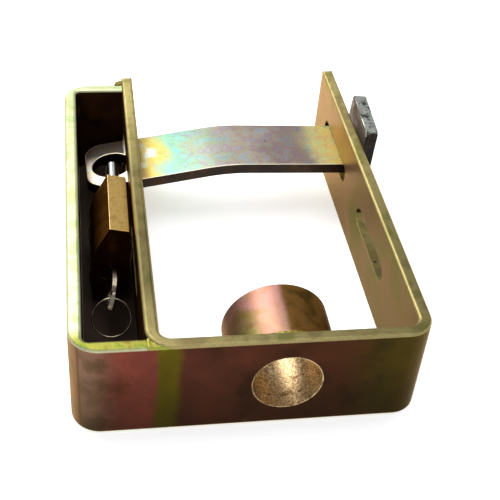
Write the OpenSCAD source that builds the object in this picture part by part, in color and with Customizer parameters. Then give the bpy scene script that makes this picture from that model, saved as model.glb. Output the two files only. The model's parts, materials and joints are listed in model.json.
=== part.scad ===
// Trailer coupler lock: a yoke of flat bar that closes over a ball coupling, with a blank that
// fills the ball socket, a cross bar through slotted arms, and a padlock inside a guard channel.
// Millimetres, +Z up, lying flat as it is stored. -Y is the side that faces the coupling's nose.

/* [Frame] */
// Thickness of the frame's flat bar
frame_t = 6; // [5:0.5:6]
// Width of the frame's flat bar, which stands on edge
strip_w = 50; // [48:1:54]
// Clear gap between the two arms
mouth_w = 110; // [104:1:120]
// Clear width of the padlock channel
channel_w = 25; // [25:0.5:28]
// Length of the outer arm, from the base's front face
outer_arm_l = 216; // [212:1:230]
// Length of the inner arm, from the base's front face
inner_arm_l = 210; // [208:1:220]
// Length of the padlock guard, from the base's front face
guard_l = 202; // [200:1:206]
// Outside bend radius of the yoke
yoke_bend_r = 12; // [10:0.5:14]
// Outside bend radius of the guard
guard_bend_r = 13; // [10:0.5:14]

/* [Slots] */
// Length of each slot
slot_l = 52; // [51:0.5:54]
// Height of each slot
slot_h = 10; // [10:0.5:11]
// Middle of the rear slots, from the base's front face
rear_slot_y = 168; // [167:0.5:169]
// Middle of the front slots, from the base's front face
front_slot_y = 87; // [80:0.5:95]
// Height of the slots' middle in the outer arm
outer_slot_z = 27; // [26.5:0.1:27.5]
// Height of the slots' middle in the inner arm
inner_slot_z = 24; // [23.8:0.1:24.2]

/* [Ball blank] */
// Outside diameter of the blank
blank_d = 48; // [46:0.5:50]
// Bore of the blank, and of the hole in the base
blank_bore_d = 30; // [26:0.5:32]
// Length of the blank from the base's inner face
blank_l = 30; // [25:0.5:35]

/* [Cross bar] */
// Thickness of the cross bar
bar_t = 6; // [5:0.5:6]
// Width of the cross bar
bar_w = 38; // [36:0.5:38]
// Slope of the bar's outer half, down to its head, in degrees
outer_slope = 2.9; // [2:0.1:3]
// Slope of the bar's inner half, down to its tab, in degrees
inner_slope = 8.8; // [8:0.1:9]
// Diameter of the padlock hole in the tab
tab_hole_d = 20.5; // [20.5:0.1:21]
// Length of the head plate
head_l = 40; // [38:1:44]
// Height of the head plate
head_h = 42; // [38:1:44]
// Thickness of the head plate
head_t = 7; // [6:0.5:8]

/* [Padlock] */
// Width of the padlock body, across the two shackle legs
case_w = 44; // [44:0.5:45]
// Thickness of the padlock body at its middle
case_t = 18; // [17:0.5:18]
// Thickness of the padlock body at its narrow faces
case_edge_t = 9.2; // [8:0.2:10]
// Length of the padlock body, from the key face to the shackle face
case_l = 43; // [43:0.5:44]
// Diameter of the shackle
shackle_d = 6.3; // [6:0.1:6.3]
// Distance between the middles of the shackle's legs
leg_gap = 28; // [27.5:0.1:28]
// Lean of the padlock in its channel, in degrees
lean = 12; // [11:0.5:12.5]

/* [Hidden] */
$fn = 48;

// Frame places, along X from the guard's outer face
inner_arm_x = frame_t + channel_w;
mouth_x = inner_arm_x + frame_t;
outer_arm_x = mouth_x + mouth_w;
frame_w = outer_arm_x + frame_t;
blank_x = mouth_x + mouth_w / 2 - 1;
inside_bend_r = 5;
guard_inside_r = 3;
guard_end_x = inner_arm_x + 0.5;
blank_bevel = 1.2;

// Cross bar: its top surface's peak, and where its two ends are
bar_yaw = 2;
bar_near_y = 148;
peak_x = 84.4;
peak_z = 34.7;
tab_end_x = 10.5;
bar_end_x = frame_w + 2.6;
tab_hole_x = 24.1;
tab_hole_y = 17.2;
tab_corner_r = 10;
bend_r = 110;
head_lean = 3;
head_skew = -3;
head_mid_y = 164;
head_mid_z = 33.5;

// Overall size, and the origin at the middle of its underside
head_reach = head_t * cos(head_lean) * cos(head_skew) + head_h / 2 * sin(head_lean)
    + head_l / 2 * sin(-head_skew);
overall_w = bar_end_x + head_reach;
origin_x = overall_w / 2;
origin_y = outer_arm_l / 2;

// Padlock: its key face's middle, and its parts from there, Y to the shackle, Z to the toe
case_at = [19.8, 81.6, 23.1];
case_yaw = 0.5;
shoulder_z = 8;
leg_r = shackle_d / 2;
leg_bore_r = leg_r + 0.07;
crown_y = 61.5;
heel_end_y = 14;
heel_bore_end_y = 5;
toe_end_y = 31.5;
notch_y = [33.5, 39.4];
notch_depth = 1.15;
heel_groove_y = [17, 31.5];
heel_groove_r = 2;
plug_z = -2;
plug_r = 6.5;
plug_l = 24;
plug_bore_r = plug_r + 0.05;
plug_groove_y = 21;
tail_r = 3.5;
cam_y = 31.6;
cam_r = 6.3;
crank_r = 4.8;
crank_pin_r = 1.2;
crank_angle = 15;
latch_y = [34.3, 39.5];
latch_z = [-5.5, 5];
latch_tip_z = 11.2;
latch_half_w = 6.8;
nose_half_w = 2.6;
latch_spring_y = 38;
pocket_y = [31.2, 39.9];
pocket_z = [-10.5, 5.4];
pin_y = [4.5, 9, 13.5, 18];
pin_cut = [0.9, 1.6, 0.5, 1.2];
pin_r = 1.42;
chamber_r = 1.5;
driver_l = 5;
chamber_plug_l = 4.6;
blade_top_z = plug_z + 2.2;
blade_bottom_z = plug_z - 4.6;
blade_half_t = 0.95;
bow_y = -14.5;
bow_r = 10;
key_hole_y = -20.5;
key_hole_r = 3.2;
ring_r = 8.9;
ring_wire_r = 0.95;
ring_tilt = 49.5;

// Everything is drawn from the guard's outer corner, and moved to the origin here
module place() { translate([-origin_x, -origin_y, 0]) children(); }

// The padlock's own frame, on its key face
module in_case() { place() translate(case_at) rotate([0, lean, -case_yaw]) children(); }

// A solid that runs along +Y from y0 to y1, drawn in X and Z
module along_y(y0, y1) {
    translate([0, y1, 0]) rotate([90, 0, 0]) linear_extrude(y1 - y0) children();
}

// A round rod along Y
module rod_y(x, z, r, y0, y1) { along_y(y0, y1) translate([x, z]) circle(r); }

// The corner that a bend of radius r takes off a square corner at the origin, towards +X +Y
module bend_cut(r) {
    difference() {
        translate([-1, -1]) square(r + 1);
        translate([r, r]) circle(r, $fn = 96);
    }
}

// The web that fills an inside corner at the origin, towards +X +Y
module bend_fill(r) {
    difference() {
        translate([-0.5, -0.5]) square(r + 0.5);
        translate([r, r]) circle(r, $fn = 64);
    }
}

// A round-ended slot through an arm, along Y
module arm_slot(x, y, z) {
    run = slot_l / 2 - slot_h / 2;
    translate([x - 1, y, z]) rotate([90, 0, 90]) linear_extrude(frame_t + 2) union() {
        translate([-run, 0]) circle(slot_h / 2);
        translate([run, 0]) circle(slot_h / 2);
        square([2 * run, slot_h], center = true);
    }
}

// ---- Frame ----
module yoke_outline() {
    difference() {
        union() {
            translate([inner_arm_x, 0]) square([frame_w - inner_arm_x, frame_t]);
            translate([inner_arm_x, 0]) square([frame_t, inner_arm_l]);
            translate([outer_arm_x, 0]) square([frame_t, outer_arm_l]);
            translate([mouth_x, frame_t]) bend_fill(inside_bend_r);
            translate([outer_arm_x, frame_t]) mirror([1, 0]) bend_fill(inside_bend_r);
        }
        translate([inner_arm_x, 0]) bend_cut(yoke_bend_r);
        translate([frame_w, 0]) mirror([1, 0]) bend_cut(yoke_bend_r);
    }
}

module yoke() {
    color([0.62, 0.55, 0.33]) place() difference() {
        linear_extrude(strip_w) yoke_outline();
        for (y = [front_slot_y, rear_slot_y]) {
            arm_slot(inner_arm_x, y, inner_slot_z);
            arm_slot(outer_arm_x, y, outer_slot_z);
        }
        translate([blank_x, 0, strip_w / 2]) rod_y(0, 0, blank_bore_d / 2, -1, frame_t + 1);
    }
}

module padlock_guard() {
    color([0.66, 0.63, 0.38]) place() linear_extrude(strip_w) difference() {
        union() {
            square([frame_t, guard_l]);
            square([guard_end_x, frame_t]);
            translate([0, guard_l - frame_t]) square([inner_arm_x, frame_t]);
            translate([frame_t, frame_t]) bend_fill(guard_inside_r);
            translate([frame_t, guard_l - frame_t]) mirror([0, 1]) bend_fill(guard_inside_r);
        }
        bend_cut(guard_bend_r);
        translate([0, guard_l]) mirror([0, 1]) bend_cut(guard_bend_r);
    }
}

module ball_blank() {
    color([0.62, 0.5, 0.3]) place() translate([blank_x, 0, strip_w / 2]) difference() {
        union() {
            rod_y(0, 0, blank_d / 2, frame_t + blank_bevel, frame_t + blank_l);
            translate([0, frame_t, 0]) rotate([-90, 0, 0])
                cylinder(r1 = blank_d / 2 - blank_bevel, r2 = blank_d / 2, h = blank_bevel);
        }
        rod_y(0, 0, blank_bore_d / 2, frame_t - 1, frame_t + blank_l + 1);
    }
}

// Weld that fills the bevel at the blank's foot, flush with the blank's outside
module blank_weld() {
    color([0.45, 0.4, 0.3]) place() translate([blank_x, frame_t, strip_w / 2]) rotate([-90, 0, 0])
        rotate_extrude($fn = 96) translate([blank_d / 2, 0])
            polygon([[-blank_bevel, 0], [0, 0], [0, blank_bevel]]);
}

// Weld that fills the groove between the guard's square end and the yoke's bend
module front_seam_weld() {
    color([0.6, 0.62, 0.4]) place() linear_extrude(strip_w) difference() {
        translate([guard_end_x, 0]) square([inner_arm_x + yoke_bend_r - guard_end_x, frame_t]);
        translate([inner_arm_x + yoke_bend_r, yoke_bend_r]) circle(yoke_bend_r, $fn = 96);
    }
}

// Fillet bead behind the guard's return, on the side of the inner arm
module rear_seam_weld() {
    color([0.5, 0.46, 0.32]) place() translate([inner_arm_x, guard_l, 0])
        linear_extrude(strip_w) intersection() {
            circle(4, $fn = 32);
            translate([-5, 0]) square(5);
        }
}

// ---- Cross bar ----
// Height of the bar's top surface at x: two slopes joined by a bend of radius bend_r
bend_half = bend_r * tan((outer_slope + inner_slope) / 2);
bend_steps = 8;
function bend_top(i) =
    let (a = inner_slope - (inner_slope + outer_slope) * i / bend_steps)
    let (cx = peak_x - bend_half * cos(inner_slope) + bend_r * sin(inner_slope))
    let (cz = peak_z - bend_half * sin(inner_slope) - bend_r * cos(inner_slope))
    [cx - bend_r * sin(a), cz + bend_r * cos(a)];
bar_cut_x = bar_end_x + 3;
bar_top = concat(
    [[tab_end_x, peak_z - (peak_x - tab_end_x) * tan(inner_slope)]],
    [for (i = [0:bend_steps]) bend_top(i)],
    [[bar_cut_x, peak_z - (bar_cut_x - peak_x) * tan(outer_slope)]]);

// The bar's own frame: turned a little about the outer slot's near end
module in_bar() {
    place() translate([outer_arm_x, bar_near_y, 0]) rotate([0, 0, bar_yaw])
        translate([-outer_arm_x, 0, 0]) children();
}

module bar_plan() {
    difference() {
        translate([tab_end_x, 0]) square([bar_cut_x - tab_end_x, bar_w]);
        translate([tab_end_x, 0]) bend_cut(tab_corner_r);
        translate([tab_end_x, bar_w]) mirror([0, 1]) bend_cut(tab_corner_r);
    }
}

module bar_solid() {
    outline = concat(bar_top, [for (i = [len(bar_top) - 1:-1:0]) bar_top[i] - [0, bar_t]]);
    intersection() {
        along_y(0, bar_w) polygon(outline);
        linear_extrude(strip_w) bar_plan();
    }
}

module cross_bar() {
    color([0.6, 0.66, 0.6]) difference() {
        in_bar() bar_solid();
        in_bar() translate([tab_hole_x, tab_hole_y, 0]) cylinder(r = tab_hole_d / 2, h = strip_w);
        head_side();
    }
}

// The head plate's own frame, on the middle of its inner face: it is set a little askew
module head_plate() {
    place() translate([bar_end_x, head_mid_y, head_mid_z]) rotate([0, head_lean, head_skew])
        children();
}

// All the space outside the head plate's inner face, where the bar is cut to meet it
module head_side() {
    head_plate() translate([0, -head_l, -head_h]) cube([head_t * 2, head_l * 2, head_h * 2]);
}

module bar_head() {
    corner_r = 4;
    color([0.72, 0.73, 0.72]) head_plate() rotate([90, 0, 90]) linear_extrude(head_t)
        difference() {
            square([head_l, head_h], center = true);
            for (sx = [-1, 1], sz = [-1, 1]) scale([sx, sz])
                translate([-head_l / 2, -head_h / 2]) bend_cut(corner_r);
        }
}

// Small fillet beads above and below the bar, along the head plate's inner face
module head_weld() {
    bead_r = 1.2;
    bead_l = 30;
    top_z = peak_z - (bar_end_x - peak_x) * tan(outer_slope) - head_mid_z;
    color([0.6, 0.6, 0.58]) difference() {
        head_plate() for (z = [top_z, top_z - bar_t])
            rod_y(0, z, bead_r, 2 - bead_l / 2, 2 + bead_l / 2);
        cross_bar();
        head_side();
    }
}

// ---- Padlock ----
// The body's section: a narrow face at each leg, and broad faces that swell at the shoulders
module case_section() {
    e = case_edge_t / 2;
    m = case_t / 2;
    w = case_w / 2;
    polygon([[-e, w], [e, w], [m - 0.4, shoulder_z], [m, 0], [m - 0.4, -shoulder_z], [e, -w],
        [-e, -w], [-m + 0.4, -shoulder_z], [-m, 0], [-m + 0.4, shoulder_z]]);
}

module padlock_body() {
    heel_z = -leg_gap / 2;
    toe_z = leg_gap / 2;
    color([0.72, 0.6, 0.32]) in_case() difference() {
        along_y(0, case_l) case_section();
        rod_y(0, plug_z, plug_bore_r, -1, pocket_y[0] + 1);
        rod_y(0, heel_z, leg_bore_r, heel_bore_end_y, case_l + 1);
        rod_y(0, toe_z, leg_bore_r, toe_end_y - 0.5, case_l + 1);
        translate([-latch_half_w - 0.3, pocket_y[0], pocket_z[0]])
            cube([2 * latch_half_w + 0.6, pocket_y[1] - pocket_y[0], pocket_z[1] - pocket_z[0]]);
        translate([-nose_half_w - 0.3, latch_y[0] + 0.9, 0])
            cube([2 * nose_half_w + 0.6, notch_y[1] - latch_y[0] - 0.9, toe_z]);
        for (y = pin_y) translate([0, y, 0]) cylinder(r = chamber_r, h = case_w);
        translate([-case_t, 30, heel_z + leg_r + 0.05]) rotate([0, 90, 0])
            cylinder(r = 1, h = 2 * case_t);
        translate([-case_t, plug_groove_y, plug_z - plug_r]) rotate([0, 90, 0])
            cylinder(r = 1, h = 2 * case_t);
    }
}

module shackle() {
    heel_z = -leg_gap / 2;
    toe_z = leg_gap / 2;
    color([0.85, 0.86, 0.88]) in_case() difference() {
        union() {
            rod_y(0, heel_z, leg_r, heel_end_y, heel_groove_y[0]);
            rod_y(0, heel_z, heel_groove_r, heel_groove_y[0] - 0.1, heel_groove_y[1] + 0.1);
            rod_y(0, heel_z, leg_r, heel_groove_y[1], crown_y);
            rod_y(0, toe_z, leg_r, toe_end_y, crown_y);
            translate([0, crown_y, 0]) rotate([0, 90, 0])
                rotate_extrude(angle = 180, $fn = 96) translate([leg_gap / 2, 0]) circle(leg_r);
        }
        translate([-leg_r - 1, notch_y[0], toe_z - leg_r - 1])
            cube([2 * leg_r + 2, notch_y[1] - notch_y[0], notch_depth + 1]);
    }
}

module chamber_plugs() {
    color([0.7, 0.58, 0.3]) in_case() for (y = pin_y)
        translate([0, y, case_w / 2 - chamber_plug_l])
            cylinder(r = chamber_r, h = chamber_plug_l - 0.05);
}

module driver_pins() {
    color([0.8, 0.7, 0.4]) in_case() for (y = pin_y)
        translate([0, y, plug_z + plug_bore_r + 0.05]) cylinder(r = pin_r, h = driver_l);
}

// Coil spring along +Z from the origin: a wire of five sides swept up a helix
module coil(radius, wire, turns, length) {
    per_turn = 8;
    sides = 5;
    rings = turns * per_turn;
    rise = (length - wire) / rings;
    points = [for (i = [0:rings], k = [0:sides - 1])
        let (a = 360 * i / per_turn, b = 360 * k / sides)
        let (r = radius + wire / 2 * cos(b))
        [r * cos(a), r * sin(a), wire / 2 + rise * i + wire / 2 * sin(b)]];
    sides_faces = [for (i = [0:rings - 1], k = [0:sides - 1], half = [0, 1])
        let (a = i * sides + k, b = i * sides + (k + 1) % sides)
        half == 0 ? [a, b, b + sides] : [a, b + sides, a + sides]];
    ends = [[for (k = [sides - 1:-1:0]) k], [for (k = [0:sides - 1]) rings * sides + k]];
    polyhedron(points, concat(sides_faces, ends), convexity = 8);
}

module pin_springs() {
    low = plug_z + plug_bore_r + 0.1 + driver_l;
    color([0.75, 0.76, 0.78]) in_case() for (y = pin_y) translate([0, y, low])
        coil(1, 0.4, 6, case_w / 2 - chamber_plug_l - 0.05 - low);
}

module shackle_spring() {
    color([0.75, 0.76, 0.78]) in_case() translate([0, heel_bore_end_y + 0.05, -leg_gap / 2])
        rotate([-90, 0, 0]) coil(2.3, 0.8, 6, heel_end_y - heel_bore_end_y - 0.1);
}

// Pin across the heel leg's groove, which keeps the shackle in the body
module heel_pin() {
    color([0.7, 0.7, 0.72]) in_case() translate([-7, 30, -leg_gap / 2 + leg_r + 0.05])
        rotate([0, 90, 0]) cylinder(r = 1, h = 14);
}

// Pin across the plug's groove, which keeps the plug in the body
module plug_pin() {
    color([0.7, 0.7, 0.72]) in_case() translate([-8, plug_groove_y, plug_z - plug_r])
        rotate([0, 90, 0]) cylinder(r = 1, h = 16);
}

// Height of the crank pin's middle when the padlock is locked
crank_z = plug_z + crank_r * sin(crank_angle);

// Sliding latch: its nose stands in the toe's notch, and the crank draws it down
module latch() {
    play = 0.2;
    color([0.74, 0.66, 0.4]) in_case() difference() {
        union() {
            translate([-latch_half_w, latch_y[0], latch_z[0]])
                cube([2 * latch_half_w, latch_y[1] - latch_y[0], latch_z[1] - latch_z[0]]);
            translate([-nose_half_w, latch_y[0] + 1.2, 0])
                cube([2 * nose_half_w, 3.6, latch_tip_z]);
        }
        translate([crank_r - 2.6, latch_y[0] - 1, crank_z - crank_pin_r - play])
            cube([4.1, 3.4, 2 * (crank_pin_r + play)]);
        translate([0, latch_spring_y, latch_z[0] - 1]) cylinder(r = 1.25, h = 8.5);
    }
}

module latch_spring() {
    color([0.75, 0.76, 0.78]) in_case() translate([0, latch_spring_y, pocket_z[0] + 0.05])
        coil(0.85, 0.4, 9, latch_z[0] + 7.4 - pocket_z[0] - 0.1);
}

module plug() {
    color([0.7, 0.57, 0.3]) in_case() difference() {
        union() {
            rod_y(0, plug_z, plug_r, 0.3, plug_groove_y - 1.2);
            rod_y(0, plug_z, plug_r - 1.3, plug_groove_y - 1.3, plug_groove_y + 1.3);
            rod_y(0, plug_z, plug_r, plug_groove_y + 1.2, plug_l);
            rod_y(0, plug_z, tail_r, plug_l - 0.1, cam_y);
        }
        translate([-blade_half_t - 0.1, -1, plug_z - plug_r - 1])
            cube([2 * blade_half_t + 0.2, 22, blade_top_z + 0.15 - plug_z + plug_r + 1]);
        for (y = pin_y) translate([0, y, plug_z]) cylinder(r = chamber_r, h = plug_r + 1);
    }
}

// Disc on the plug's tail, with the crank pin that works the latch
module plug_cam() {
    color([0.72, 0.72, 0.72]) in_case() union() {
        rod_y(0, plug_z, cam_r, cam_y, cam_y + 2.1);
        rod_y(crank_r * cos(crank_angle), crank_z, crank_pin_r, cam_y + 2, cam_y + 4.9);
    }
}

module key_pins() {
    color([0.8, 0.7, 0.4]) in_case() for (i = [0:len(pin_y) - 1]) {
        low = blade_top_z - pin_cut[i] + 0.05;
        top = plug_z + plug_r - 0.1;
        translate([0, pin_y[i], low]) cylinder(r1 = 0.6, r2 = pin_r, h = 0.8);
        translate([0, pin_y[i], low + 0.8]) cylinder(r = pin_r, h = top - low - 0.8);
    }
}

// The blade's cuts, as points along its top edge from tip to shoulder
cut_flat = 1.3;
cut_points = [for (i = [len(pin_y) - 1:-1:0], s = [1, -1])
    [pin_y[i] + s * cut_flat, blade_top_z - pin_cut[i]]];

module key() {
    blade_tip = 20.6;
    color([0.8, 0.79, 0.74]) in_case() translate([-blade_half_t, 0, 0])
        rotate([90, 0, 90]) linear_extrude(2 * blade_half_t) difference() {
            union() {
                polygon(concat([[-6, blade_bottom_z], [blade_tip - 1, blade_bottom_z],
                    [blade_tip, blade_bottom_z + 1.4]], cut_points,
                    [[1.5, blade_top_z], [-6, blade_top_z]]));
                translate([bow_y, plug_z]) circle(bow_r, $fn = 64);
            }
            translate([key_hole_y, plug_z]) circle(key_hole_r);
        }
}

// The ring hangs through the key's hole and leans towards the base
module split_ring() {
    color([0.8, 0.8, 0.82]) in_case() translate([0, key_hole_y, plug_z]) rotate([0, -lean, 0])
        rotate([ring_tilt, 0, 0]) translate([0, -ring_r, 0]) rotate_extrude($fn = 72)
            translate([ring_r, 0]) circle(ring_wire_r, $fn = 24);
}

yoke();
padlock_guard();
ball_blank();
blank_weld();
front_seam_weld();
rear_seam_weld();
cross_bar();
bar_head();
head_weld();
shackle();
padlock_body();
chamber_plugs();
driver_pins();
pin_springs();
shackle_spring();
heel_pin();
plug_pin();
latch();
latch_spring();
plug();
plug_cam();
key_pins();
key();
split_ring();
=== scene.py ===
# %% [markdown]
# # A trailer coupler lock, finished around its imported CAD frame
#
# The lock is a yoke of yellow-zinc flat bar. A short tube on its base fills the ball socket of a
# trailer coupler, a bent bar crosses the slotted arms behind it, and a brass padlock in a narrow
# guard channel holds that bar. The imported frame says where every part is. This lesson builds the
# finished skin of each visible part in the same place: softened edges, rounded bends, weld beads,
# and the stained, iridescent film that zinc plating leaves on steel.

# %% Load the frame
import json
import math

import bmesh
import bpy
from mathutils import Matrix, Vector


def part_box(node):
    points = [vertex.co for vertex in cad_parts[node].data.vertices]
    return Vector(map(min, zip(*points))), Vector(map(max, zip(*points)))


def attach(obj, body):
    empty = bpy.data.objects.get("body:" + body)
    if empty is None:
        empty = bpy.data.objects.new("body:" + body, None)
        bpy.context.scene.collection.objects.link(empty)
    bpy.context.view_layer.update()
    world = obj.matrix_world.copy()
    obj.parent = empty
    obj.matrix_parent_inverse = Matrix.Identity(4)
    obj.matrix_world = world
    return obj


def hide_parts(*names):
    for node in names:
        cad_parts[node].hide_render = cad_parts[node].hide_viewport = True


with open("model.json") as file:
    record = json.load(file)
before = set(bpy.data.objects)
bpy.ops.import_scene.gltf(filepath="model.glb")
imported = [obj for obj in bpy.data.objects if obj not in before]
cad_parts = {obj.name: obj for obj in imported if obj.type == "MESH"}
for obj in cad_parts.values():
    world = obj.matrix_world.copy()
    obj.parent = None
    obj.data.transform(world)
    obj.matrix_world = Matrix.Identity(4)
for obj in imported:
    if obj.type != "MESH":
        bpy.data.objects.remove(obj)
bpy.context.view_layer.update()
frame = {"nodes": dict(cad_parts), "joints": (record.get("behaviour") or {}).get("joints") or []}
scene = bpy.context.scene
MM = 0.001
print("nodes in the frame:", len(frame["nodes"]))

# %% [markdown]
# ## The camera and the studio
#
# The lock lies on a pale floor. The camera looks down on it from the front, a little to the left,
# with a medium telephoto lens, so the base's face, the tops of the arms and the inside of the
# guard channel all show. The camera's position is given from the middle of the lock's underside,
# and its direction as three unit vectors, which go straight into its matrix.

# %% Camera
CAMERA_PLACE = Vector((-0.0719, -0.3824, 0.3345))
CAMERA_RIGHT = Vector((0.98643, -0.14562, 0.07589))
CAMERA_UP = Vector((0.03656, 0.64529, 0.76307))
FOCAL_MM = 71.04

camera_data = bpy.data.cameras.new("camera")
camera_data.lens = FOCAL_MM
camera_data.sensor_width = 36
camera = bpy.data.objects.new("camera", camera_data)
scene.collection.objects.link(camera)
right = CAMERA_RIGHT.normalized()
back = right.cross(CAMERA_UP).normalized()
up = back.cross(right)
turn = Matrix((right, up, back)).transposed()
camera.matrix_world = Matrix.Translation(CAMERA_PLACE) @ turn.to_4x4()
scene.camera = camera
scene.view_settings.view_transform = "Standard"
print("camera height in mm:", round(CAMERA_PLACE.z / MM))

# %% [markdown]
# Studio light on bright metal is mostly about what the metal reflects. One large soft light
# above and behind the lock, to the left, makes the top edges shine and leaves the front face in
# shade, as it is on a table by a window. A weak wide fill keeps the shaded faces readable. The
# channel has no floor of its own, so a dark card lies under it, set in from the guard's faces:
# it is painted shade, a dark sheet that stands in for the deep shade in the channel. Floor and
# card are stage only.


# %% Lights, sky and floor
def add_area_light(name, place, aim, size, power, colour):
    """A square soft light at place that points at aim."""
    data = bpy.data.lights.new(name, "AREA")
    data.shape = "SQUARE"
    data.size = size
    data.energy = power
    data.color = colour
    light = bpy.data.objects.new(name, data)
    light.matrix_world = Matrix.Translation(Vector(place)) @ (
        (Vector(place) - Vector(aim)).to_track_quat("Z", "Y").to_matrix().to_4x4())
    scene.collection.objects.link(light)
    return light


add_area_light("window", (-0.35, 0.55, 0.75), (0, 0.02, 0), 0.6, 8.0, (1.0, 0.98, 0.95))
add_area_light("ceiling", (0.05, 0.1, 1.1), (0, 0, 0), 0.8, 4.5, (1.0, 1.0, 1.0))
add_area_light("fill", (-0.2, -0.9, 0.35), (0, 0, 0.03), 0.7, 1.6, (1.0, 0.95, 0.9))

world = bpy.data.worlds.new("studio_sky")
world.use_nodes = True
sky = world.node_tree.nodes["Background"]
sky.inputs["Color"].default_value = (0.93, 0.95, 1.0, 1)
sky.inputs["Strength"].default_value = 0.62
scene.world = world


def select_nothing():
    """Deselects everything, since an operator acts on all that is selected."""
    bpy.ops.object.select_all(action="DESELECT")


def stage_material(name, colour, roughness):
    """A plain matt material for what isn't part of the lock, and its shader."""
    material = bpy.data.materials.new(name)
    material.use_nodes = True
    paint = material.node_tree.nodes["Principled BSDF"]
    paint.inputs["Base Color"].default_value = (*colour, 1)
    paint.inputs["Roughness"].default_value = roughness
    return material, paint


select_nothing()
bpy.ops.mesh.primitive_plane_add(size=6, location=(0, 0, 0))
floor = bpy.context.object
floor.name = "studio_floor"
floor_material, paint = stage_material("pale_floor", (0.93, 0.93, 0.925), 0.85)
paint.inputs["Specular IOR Level"].default_value = 0.2
paint.inputs["Emission Color"].default_value = (1, 1, 1, 1)
paint.inputs["Emission Strength"].default_value = 0.45
floor.data.materials.append(floor_material)

# The dark card is painted shade: a dark sheet that stands in for the channel's shade.
CARD_INSET, CARD_REACH = Vector((0.006, 0.005, 0)), 0.008
CARD_THICK, CARD_MIDDLE = 0.0012, -0.0005
guard_low, guard_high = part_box("padlock_guard")
card_low = guard_low + CARD_INSET
card_high = guard_high - CARD_INSET + Vector((CARD_REACH, 0, 0))
select_nothing()
bpy.ops.mesh.primitive_cube_add(size=1, location=((card_low.x + card_high.x) / 2,
    (card_low.y + card_high.y) / 2, CARD_MIDDLE), scale=(card_high.x - card_low.x,
    card_high.y - card_low.y, CARD_THICK))
card = bpy.context.object
card.name = "dark_card"
card.data.materials.append(stage_material("dark_card", (0.035, 0.018, 0.009), 0.9)[0])

# %% [markdown]
# ## Node helpers
#
# Every finish below is a small graph of shader nodes. A few helpers keep those graphs short.
# The main two add a node and wire or set its inputs, and turn a colour in the 0 to 255 steps of
# a paint chart into the linear values that the renderer works with.


# %% Node helpers
def srgb(red, green, blue):
    """A paint chart colour, 0 to 255, as linear light with alpha."""
    linear = []
    for value in (red, green, blue):
        part = value / 255
        linear.append(part / 12.92 if part < 0.04045 else ((part + 0.055) / 1.055) ** 2.4)
    return (*linear, 1.0)


def wire(tree, node, inputs):
    """Sets a node's inputs: names or numbers of sockets, with values or other sockets."""
    for key, value in inputs.items():
        if isinstance(value, bpy.types.NodeSocket):
            tree.links.new(value, node.inputs[key])
        else:
            node.inputs[key].default_value = value


def add_node(tree, kind, inputs=None, **settings):
    """Adds a node with its settings and its inputs."""
    made = tree.nodes.new(kind)
    for key, value in settings.items():
        setattr(made, key, value)
    wire(tree, made, inputs or {})
    return made


def calculate(tree, operation, a, b=0.0, c=0.0, clamp=False):
    """One Math node's result."""
    made = add_node(tree, "ShaderNodeMath", {0: a, 1: b, 2: c}, operation=operation)
    made.use_clamp = clamp
    return made.outputs[0]


def mix_colour(tree, share, a, b, blend="MIX"):
    """The colour a turned into b by share."""
    made = add_node(tree, "ShaderNodeMix", data_type="RGBA", blend_type=blend)
    made.clamp_factor = True
    wire(tree, made, {0: share, 6: a, 7: b})
    return made.outputs[2]


def times(tree, a, b):
    """Two values multiplied."""
    return calculate(tree, "MULTIPLY", a, b)


def tinted(tree, colour, by):
    """A colour multiplied by another colour or by a value."""
    return mix_colour(tree, 1.0, colour, by, "MULTIPLY")


def noise(tree, vector, scale, detail, roughness=0.5):
    """A noise texture's outputs."""
    return add_node(tree, "ShaderNodeTexNoise", {"Vector": vector, "Scale": scale,
        "Detail": detail, "Roughness": roughness}).outputs


def split_xyz(tree, vector):
    """A vector's three parts."""
    return add_node(tree, "ShaderNodeSeparateXYZ", {0: vector}).outputs


def ramp_between(tree, value, low, high, to_low=0.0, to_high=1.0):
    """A smooth step: to_low where value is under low, to_high where it is over high."""
    made = add_node(tree, "ShaderNodeMapRange", {"Value": value, "From Min": low, "From Max": high,
        "To Min": to_low, "To Max": to_high}, interpolation_type="SMOOTHSTEP")
    return made.outputs["Result"]


def colour_bands(tree, value, stops):
    """A colour ramp; stops are (position, colour) pairs."""
    made = add_node(tree, "ShaderNodeValToRGB", {0: value})
    made.color_ramp.interpolation = "EASE"
    elements = made.color_ramp.elements
    while len(elements) < len(stops):
        elements.new(1.0)
    for element, (position, colour) in zip(elements, stops):
        element.position = position
        element.color = colour
    return made.outputs["Color"]


def new_group(name, inputs, outputs):
    """An empty shader node group with named sockets, and its two end nodes."""
    tree = bpy.data.node_groups.new(name, "ShaderNodeTree")
    for socket_name, kind, value in inputs:
        socket = tree.interface.new_socket(socket_name, in_out="INPUT", socket_type=kind)
        if value is not None:
            socket.default_value = value
    for socket_name, kind in outputs:
        tree.interface.new_socket(socket_name, in_out="OUTPUT", socket_type=kind)
    return tree, tree.nodes.new("NodeGroupInput"), tree.nodes.new("NodeGroupOutput")


FLOAT, COLOUR, VECTOR = "NodeSocketFloat", "NodeSocketColor", "NodeSocketVector"
print("helpers ready")
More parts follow.
